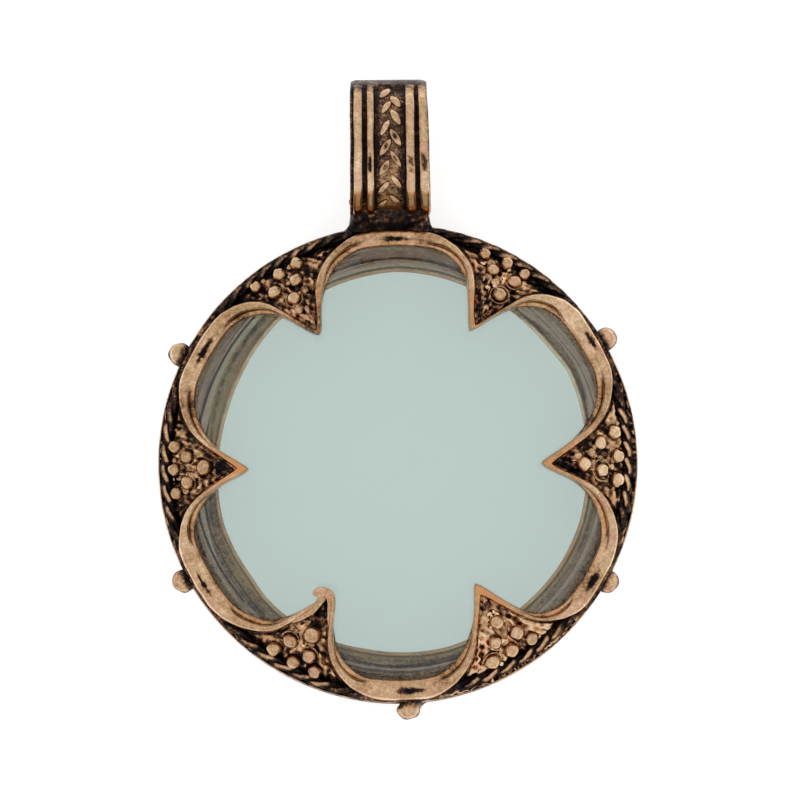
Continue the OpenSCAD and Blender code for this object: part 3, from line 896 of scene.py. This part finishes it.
def buildBail():
    look = dict(
        frontSteps=170, backSteps=36, joint=42.6,  # degrees that the front's curve runs past a half turn
        wobble=0.012, plainWorn=0.3, topCorner=0.16, footDark=(20.75, 20.45), ending=(22.6, 21.5),
        wider=0.16,  # the right edge stands out so far, from the top down
        # dark marks on the ridges: place as a share of half the width, half of their width, strength
        markAt=108, markSpan=6.5, marks=[(-0.49, 0.05, 0.9), (0.57, 0.07, 0.6), (0.87, 0.06, 0.8)],
    )
    (x, depth, wearAndShading), outside = strapSection()
    outward = np.concatenate([
        np.linspace(-look["joint"], 180 + look["joint"], look["frontSteps"], endpoint=False),
        np.linspace(180 + look["joint"], 270, look["backSteps"] // 2, endpoint=False),
        np.linspace(-90, -look["joint"], look["backSteps"] // 2, endpoint=False)])[:, None]
    # the ridges and channel run down the front and end before the top, and the back is plain
    ornate = ease(loop["plainFrom"], loop["ornateFrom"], outward)
    onOutside = (np.arange(len(x)) < outside)[None, :]
    plain = np.where(onOutside, 1 - ornate, 0)
    rounded = look["topCorner"] * np.clip(np.abs(x) - 0.86, 0, 1) / 0.14
    depth = depth[None, :] * (1 - plain) + plain * (0.05 + rounded[None, :])
    wearAndShading = wearAndShading[None, :] * (1 - plain) + plain * look["plainWorn"]
    y, z = onLoop(outward, depth)
    low = ease(26, 20.5, y)
    halfWidth = loop["halfWidth"] + (loop["footHalfWidth"] - loop["halfWidth"]) * low
    spots = np.stack(np.broadcast_arrays(x * halfWidth, y, z), -1)
    spots[..., 0] += look["wobble"] * swell(spots, 3.0, 21)
    spots[..., 0] += look["wider"] * ease(0.6, 0.95, x) * ease(31, 26, y)
    # painted shade darkens the foot, where the strap turns under towards the ring; dark patina gathers in
    # front and in marks on the ridges, which turn orange at the foot
    foot = ease(*look["footDark"], y) * (z > 4)
    ragged = swell(spots, 0.7, 23)
    spread = np.exp(-((outward - look["markAt"] - 2.0 * ragged) / look["markSpan"]) ** 4) * onOutside
    mark = sum(share * np.exp(-((x - place) / half) ** 4) for place, half, share in look["marks"]) * spread
    # painted light: the ridges low on the front are brighter
    paintedLightLow = 0.1 * ease(100, 112, outward) * onOutside * (wearAndShading > 0.3)
    top = onOutside * ornate * ease(47, 34, outward)
    wearAndShading = (wearAndShading + paintedLightLow) * (1 - 0.86 * foot) * (1 - mark) * (1 - 0.4 * top)
    ending = ease(*look["ending"], y) * (z > 4)
    wearAndShading, warm = wearAndShading + 0.04 * ending * (wearAndShading > 0.3), 2.2 * ending
    makePiece("bail_strap", [(leant(spots), wearAndShading, warm)], closeU=True, sharpAngle=45, **metal)


def buildLeaves():
    # each leaf is a long flat grain that follows the bottom of the channel, and they form chevrons; some
    # have a dark pit on top
    look = dict(
        left=dict(angles=[38.8, 57.4, 77.9, 95.3, 113.7, 133.9, 155.5], tilt=-29, pitted=[3, 4],
                  x=[-0.26, -0.18, -0.29, -0.29, -0.38, -0.48, -0.62]),
        right=dict(angles=[50.7, 67.9, 86.7, 105.6, 127.4, 148.9], tilt=31, pitted=[2, 3],
                   x=[0.57, 0.57, 0.56, 0.57, 0.62, 0.5]),
        length=0.86, width=0.35, height=0.27, taper=0.3, dark=0.1, bright=0.68,
    )
    rng = np.random.default_rng(5)
    unit = ball(13, 14)
    grids = []
    for side in ("left", "right"):
        for number, (facing, place) in enumerate(zip(look[side]["angles"], look[side]["x"])):
            # pole to pole along the leaf, which narrows to its ends and has a low keel
            taper = 1 - look["taper"] * np.abs(unit[..., 2]) ** 2
            along = unit[..., 2] * look["length"] * rng.uniform(0.92, 1.05)
            across = unit[..., 0] * look["width"] * taper * rng.uniform(0.9, 1.1)
            up = unit[..., 1] * look["height"] * taper
            tilt = math.radians(look[side]["tilt"] + rng.normal(0, 2.5))
            x = place + across * math.cos(tilt) - along * math.sin(tilt)
            arc = across * math.sin(tilt) + along * math.cos(tilt)
            y, z = onLoop(facing - np.degrees(arc / loop["radius"]), loop["channelDepth"] - up)
            # painted light and shade: each leaf is bright on top and dark below, and darker near the bail's
            # foot
            foot = ease(21.9, 20.9, y)
            pit = np.exp(-((unit[..., 2] - 0.1) / 0.34) ** 2 - (unit[..., 0] / 0.4) ** 2)
            pit = pit * (number in look[side]["pitted"])
            wearAndShading = look["dark"] + look["bright"] * ease(0.0, 0.55, unit[..., 1])
            grids.append((leant(np.stack([x, y, z], -1)), wearAndShading * (1 - 0.4 * foot) * (1 - 0.8 * pit)))
    makePiece("channel_leaves", grids, **metal)


def buildFoot():
    # the soldered foot: a rounded box section, carried from the wall to the strap, with hollow sides
    look = dict(start=19.35, end=22.0, halfLow=4.12, halfHigh=3.27, low=1.4, topLow=5.0, topHigh=6.1,
                square=0.4, steps=28, sides=200, uneven=0.05, dark=0.15, bright=0.3,
                ridges=(-0.79, -0.47, 0.55, 0.87), ridgeHalf=0.09)
    t = np.linspace(0, 1, look["steps"])[:, None]
    turn = np.linspace(0, 2 * math.pi, look["sides"], endpoint=False)[None, :]
    across, rise = squaredCircle(turn, look["square"])
    halfWidth = look["halfHigh"] + (look["halfLow"] - look["halfHigh"]) * (1 - t) ** 7
    top = look["topLow"] + (look["topHigh"] - look["topLow"]) * ease(0, 0.7, t)
    middle, half = (look["low"] + top) / 2, (top - look["low"]) / 2
    y = look["start"] + (look["end"] - look["start"]) * t + 0 * turn
    points = np.stack([halfWidth * across, y, middle + half * rise], -1)
    points += look["uneven"] * swell(points, 1.3, 31)[..., None] * [1, 0, 1]
    # each end closes on its own middle
    caps = [np.broadcast_to(row.mean(1, keepdims=True), row.shape) for row in (points[:1], points[-1:])]
    points = np.concatenate([caps[0], points, caps[1]])
    # the ends of the ridges run out on its top, in orange
    share = points[..., 0] / look["halfHigh"]
    ends = sum(np.exp(-((share - place) / look["ridgeHalf"]) ** 4) for place in look["ridges"])
    ends = ends * ease(20.1, 20.7, points[..., 1]) * (points[..., 2] > 4)
    wearAndShading = look["dark"] + 0.08 * swell(points, 0.6, 33) + look["bright"] * ends
    makePiece("bail_foot", [(leant(points), wearAndShading, 0.9 * ends)], sharpAngle=60, **metal)


# Bent tip: the end of the lower left claw is drawn out and curled to the left

def buildBentTip():
    look = dict(
        # the curl and the thick left flank below it: distance, angle and half width
        curl=[(14.91, 246.4, 0.1), (14.28, 245.7, 0.28), (13.59, 244.7, 0.33), (12.99, 243.6, 0.34),
              (12.57, 242.4, 0.37), (12.4, 240.8, 0.4), (12.49, 239.1, 0.41), (12.69, 237.7, 0.38),
              (12.9, 236.7, 0.28), (13.03, 236.0, 0.1)],
        flank=[(12.39, 240.3, 0.14), (12.87, 239.8, 0.33), (13.39, 239.6, 0.3), (14.1, 239.1, 0.27),
               (14.8, 237.8, 0.25), (15.41, 236.3, 0.23), (16.04, 234.9, 0.08)],
        lift=0.8, flat=0.72, square=0.65, samples=56, sides=24, dark=0.4, bright=0.3, edge=0.14,
    )
    grids = []
    for seed, run in ((8, look["curl"]), (9, look["flank"])):
        distance, degrees, radius = smoothRun(run, look["samples"]).T
        path = fromPolar(distance, degrees, domeHeight(distance, look["lift"]))
        radius = radius * (1 + 0.05 * swell(path, 1.0, seed))
        radius[0] = radius[-1] = 0
        points = tube(path, radius, look["sides"], look["square"])
        points[..., 2] = path[:, None, 2] + (points[..., 2] - path[:, None, 2]) * look["flat"]
        top = points[..., 2] - path[:, None, 2]
        sideways = np.linalg.norm(points[..., :2] - path[:, None, :2], axis=-1)
        sideways = sideways / np.maximum(radius, 0.01)[:, None]
        # painted light and shade: bright on top with a painted highlight along the edges, dark below and at
        # the very sides
        bright = (look["bright"] + look["edge"] * ease(0.6, 0.85, sideways)) * ease(-0.02, 0.14, top)
        grids.append((points, look["dark"] + bright - 0.1 * ease(0.9, 1.0, sideways)))
    makePiece("bent_tip", grids, **metal)


def buildStage():
    # a wide pale floor
    mesh = bpy.data.meshes.new("floor")
    half = 3.0
    corners = [(-half, -half, 0), (half, -half, 0), (half, half, 0), (-half, half, 0)]
    mesh.from_pydata(corners, [], [(0, 1, 2, 3)])
    floor = putInScene("floor", mesh)
    mesh.materials.append(floorFinish())


def buildLight():
    # an even white tent, brightest overhead
    look = dict(high=0.92, low=0.8)
    world = bpy.data.worlds.new("studio")
    bpy.context.scene.world = world
    paint = Paint(world)
    heading = paint.add("ShaderNodeTexCoord", {}, {}, 0)
    height = paint.add("ShaderNodeSeparateXYZ", {}, {0: heading}, 2)
    light = paint.blend(height.span(0.0, 0.95), (look["low"],) * 3 + (1,), (look["high"],) * 3 + (1,))
    paint.done(paint.add("ShaderNodeBackground", {}, {"Color": light, "Strength": 1.0}),
               "ShaderNodeOutputWorld")
    bpy.context.scene.view_settings.view_transform = "Standard"


def buildCamera():
    # the photograph looks almost straight down, turned so that the pendant stands 1.4 degrees to the left
    look = dict(distance=0.5, elevation=86.3, roll=1.4, target=(0.00031, -0.00007, 0.0043),
                spanAcross=0.06676)
    data = bpy.data.cameras.new("camera")
    data.sensor_width = 36
    data.lens = data.sensor_width * look["distance"] / look["spanAcross"]
    data.clip_start, data.clip_end = 0.01, 20
    camera = putInScene("camera", data)
    rise = math.radians(look["elevation"])
    back = Vector((0, -math.cos(rise), math.sin(rise)))
    up = Matrix.Rotation(-math.radians(look["roll"]), 3, back) @ Vector((0, math.sin(rise), math.cos(rise)))
    side = up.cross(back)
    turn = Matrix((side, up, back)).transposed().to_4x4()
    camera.matrix_world = Matrix.Translation(Vector(look["target"]) + back * look["distance"]) @ turn
    bpy.context.scene.camera = camera


buildCamera()
buildLight()
buildStage()
print("stage: camera, light and floor made")
buildCrystal()
buildCup()
buildGranules()
buildTwistedWire()
buildEdgeBeads()
buildBail()
buildLeaves()
buildFoot()
buildBentTip()
print("stage: pieces made")
